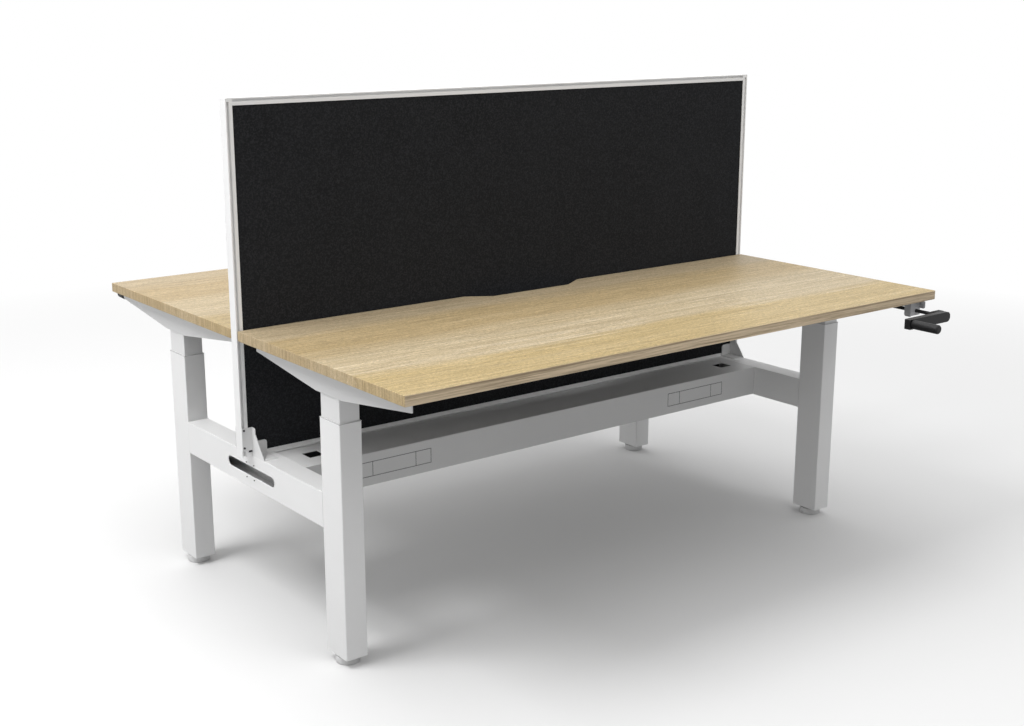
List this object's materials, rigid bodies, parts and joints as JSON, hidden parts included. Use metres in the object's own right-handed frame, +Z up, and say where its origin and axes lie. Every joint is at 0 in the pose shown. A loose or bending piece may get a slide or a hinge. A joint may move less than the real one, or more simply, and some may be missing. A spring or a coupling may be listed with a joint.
{
  "type": "back-to-back workstation",
  "caption": "Back-to-back workstation with crank-lifted oak tops on telescopic columns, a shared base with cable trays and a framed fabric screen.",
  "frame": {"origin": "on the floor, under the middle of the object", "axes": "+X along the tops, -Y towards the front desk's user, +Z up"},
  "size_m": [1.8, 1.883, 1.326],
  "materials": {
    "top_laminate": "matt oak laminate",
    "white_steel": "fine powder coat",
    "screen_frame": "white satin",
    "screen_fabric": "woven",
    "screen_core": "raw board",
    "crank_plastic": "fine grain",
    "shaft_steel": "dark",
    "bracket_steel": "grey coat",
    "gear_steel": "bare",
    "foot_plastic": "satin",
    "guide_plastic": "satin",
    "nut_plastic": "natural"
  },
  "bodies": {
    "base": {"front_right_outer_tube": "white_steel", "front_left_outer_tube": "white_steel", "back_right_outer_tube": "white_steel", "back_left_outer_tube": "white_steel", "left_end_beam": "white_steel", "right_end_beam": "white_steel", "centre_beam": "white_steel", "front_cable_tray": "white_steel", "back_cable_tray": "white_steel", "tray_end_plates": "white_steel", "left_screen_post": "screen_frame", "right_screen_post": "screen_frame", "screen_top_rail": "screen_frame", "screen_foot_rail": "screen_frame", "screen_corner_caps": "screen_frame", "screen_board": "screen_core", "front_screen_fabric": "screen_fabric", "back_screen_fabric": "screen_fabric", "front_right_screen_bracket": "white_steel", "front_left_screen_bracket": "white_steel", "back_right_screen_bracket": "white_steel", "back_left_screen_bracket": "white_steel", "column_guides": "guide_plastic", "nut_tubes": "gear_steel", "lead_nuts": "nut_plastic"},
    "front_desk": {"front_desktop": "top_laminate", "front_right_arm": "white_steel", "front_left_arm": "white_steel", "front_right_inner_tube": "white_steel", "front_left_inner_tube": "white_steel", "front_right_column_head": "white_steel", "front_left_column_head": "white_steel", "front_shaft_bracket": "bracket_steel"},
    "front_crank_set": {"front_crank_shaft": "shaft_steel", "front_crank": "crank_plastic"},
    "front_grip_set": {"front_crank_grip": "crank_plastic"},
    "front_rod_set": {"front_cross_rod": "shaft_steel"},
    "front_right_screw_set": {"front_right_lead_screw": "gear_steel"},
    "front_right_foot_set": {"front_right_foot": "foot_plastic"},
    "front_left_screw_set": {"front_left_lead_screw": "gear_steel"},
    "front_left_foot_set": {"front_left_foot": "foot_plastic"},
    "back_desk": {"back_desktop": "top_laminate", "back_right_arm": "white_steel", "back_left_arm": "white_steel", "back_right_inner_tube": "white_steel", "back_left_inner_tube": "white_steel", "back_right_column_head": "white_steel", "back_left_column_head": "white_steel", "back_shaft_bracket": "bracket_steel"},
    "back_crank_set": {"back_crank_shaft": "shaft_steel", "back_crank": "crank_plastic"},
    "back_grip_set": {"back_crank_grip": "crank_plastic"},
    "back_rod_set": {"back_cross_rod": "shaft_steel"},
    "back_right_screw_set": {"back_right_lead_screw": "gear_steel"},
    "back_right_foot_set": {"back_right_foot": "foot_plastic"},
    "back_left_screw_set": {"back_left_lead_screw": "gear_steel"},
    "back_left_foot_set": {"back_left_foot": "foot_plastic"}
  },
  "joints": [
    {"name": "front_lift", "type": "slide", "parent": "base", "child": "front_desk", "axis": [0, 0, 1], "range_m": [-0.05, 0.4]},
    {"name": "front_crank_turn", "type": "hinge", "parent": "front_desk", "child": "front_crank_set", "pos_m": [0.834, -0.84, 0.704], "axis": [0, 1, 0], "range_deg": [-2260, 18010]},
    {"name": "front_grip_turn", "type": "hinge", "parent": "front_crank_set", "child": "front_grip_set", "pos_m": [0.6835, -0.9, 0.704], "axis": [0, 1, 0], "continuous": true},
    {"name": "front_rod_turn", "type": "hinge", "parent": "front_desk", "child": "front_rod_set", "pos_m": [0, -0.407, 0.704], "axis": [1, 0, 0], "range_deg": [-2260, 18010]},
    {"name": "front_right_screw_turn", "type": "hinge", "parent": "front_desk", "child": "front_right_screw_set", "pos_m": [0.834, -0.407, 0.4], "axis": [0, 0, 1], "range_deg": [-9005, 1130]},
    {"name": "front_right_foot_level", "type": "slide", "parent": "base", "child": "front_right_foot_set", "axis": [0, 0, -1], "range_m": [0, 0.01]},
    {"name": "front_left_screw_turn", "type": "hinge", "parent": "front_desk", "child": "front_left_screw_set", "pos_m": [-0.834, -0.407, 0.4], "axis": [0, 0, 1], "range_deg": [-1130, 9005]},
    {"name": "front_left_foot_level", "type": "slide", "parent": "base", "child": "front_left_foot_set", "axis": [0, 0, -1], "range_m": [0, 0.01]},
    {"name": "back_lift", "type": "slide", "parent": "base", "child": "back_desk", "axis": [0, 0, 1], "range_m": [-0.05, 0.4]},
    {"name": "back_crank_turn", "type": "hinge", "parent": "back_desk", "child": "back_crank_set", "pos_m": [-0.834, 0.84, 0.704], "axis": [0, -1, 0], "range_deg": [-2260, 18010]},
    {"name": "back_grip_turn", "type": "hinge", "parent": "back_crank_set", "child": "back_grip_set", "pos_m": [-0.6835, 0.9, 0.704], "axis": [0, -1, 0], "continuous": true},
    {"name": "back_rod_turn", "type": "hinge", "parent": "back_desk", "child": "back_rod_set", "pos_m": [0, 0.407, 0.704], "axis": [-1, 0, 0], "range_deg": [-2260, 18010]},
    {"name": "back_right_screw_turn", "type": "hinge", "parent": "back_desk", "child": "back_right_screw_set", "pos_m": [-0.834, 0.407, 0.4], "axis": [0, 0, 1], "range_deg": [-9005, 1130]},
    {"name": "back_right_foot_level", "type": "slide", "parent": "base", "child": "back_right_foot_set", "axis": [0, 0, -1], "range_m": [0, 0.01]},
    {"name": "back_left_screw_turn", "type": "hinge", "parent": "back_desk", "child": "back_left_screw_set", "pos_m": [0.834, 0.407, 0.4], "axis": [0, 0, 1], "range_deg": [-1130, 9005]},
    {"name": "back_left_foot_level", "type": "slide", "parent": "base", "child": "back_left_foot_set", "axis": [0, 0, -1], "range_m": [0, 0.01]}
  ],
  "couplings": [
    {"joint": "front_crank_turn", "follows": "front_lift", "rad_per_m": 785.4},
    {"joint": "front_rod_turn", "follows": "front_lift", "rad_per_m": 785.4},
    {"joint": "front_right_screw_turn", "follows": "front_lift", "rad_per_m": -392.7},
    {"joint": "front_left_screw_turn", "follows": "front_lift", "rad_per_m": 392.7},
    {"joint": "back_crank_turn", "follows": "back_lift", "rad_per_m": 785.4},
    {"joint": "back_rod_turn", "follows": "back_lift", "rad_per_m": 785.4},
    {"joint": "back_right_screw_turn", "follows": "back_lift", "rad_per_m": -392.7},
    {"joint": "back_left_screw_turn", "follows": "back_lift", "rad_per_m": 392.7}
  ]
}
